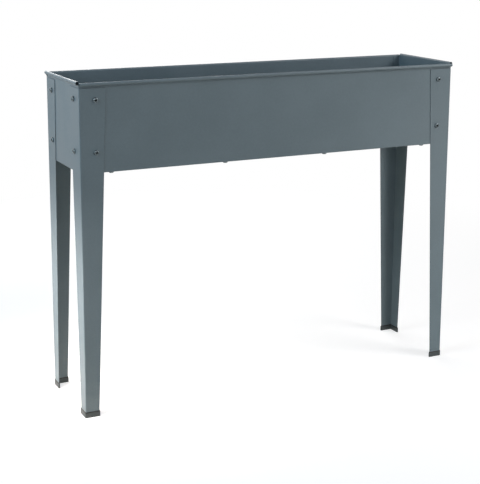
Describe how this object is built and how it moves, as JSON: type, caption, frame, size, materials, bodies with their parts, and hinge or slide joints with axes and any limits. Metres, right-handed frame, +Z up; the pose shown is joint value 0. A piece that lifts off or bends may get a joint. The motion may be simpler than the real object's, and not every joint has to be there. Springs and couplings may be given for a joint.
{
  "type": "raised garden bed",
  "caption": "Raised garden bed: an open sheet-steel trough with rolled rims and a drained floor, bolted to tapered angle legs that stand in plastic foot boots.",
  "frame": {"origin": "on the ground under the middle of the bed, at the centre of the underside of its box", "axes": "+X along the trough to the right as seen from the front, +Y from the front to the rear, +Z up"},
  "size_m": [1, 0.25, 0.782],
  "materials": {
    "powder_coat": "satin blue-grey powder coat",
    "zinc_steel": "zinc-plated, slightly dull",
    "boot_plastic": "dark grey, fine moulded texture"
  },
  "bodies": {
    "root": {"front_panel": "powder_coat", "rear_panel": "powder_coat", "left_end_panel": "powder_coat", "right_end_panel": "powder_coat", "floor_panel": "powder_coat", "floor_screws": "zinc_steel", "floor_nuts": "zinc_steel", "front_left_leg": "powder_coat", "front_left_boot": "boot_plastic", "front_left_leg_screws": "zinc_steel", "front_left_leg_nuts": "zinc_steel", "rear_left_leg": "powder_coat", "rear_left_boot": "boot_plastic", "rear_left_leg_screws": "zinc_steel", "rear_left_leg_nuts": "zinc_steel", "front_right_leg": "powder_coat", "front_right_boot": "boot_plastic", "front_right_leg_screws": "zinc_steel", "front_right_leg_nuts": "zinc_steel", "rear_right_leg": "powder_coat", "rear_right_boot": "boot_plastic", "rear_right_leg_screws": "zinc_steel", "rear_right_leg_nuts": "zinc_steel"}
  },
  "joints": []
}
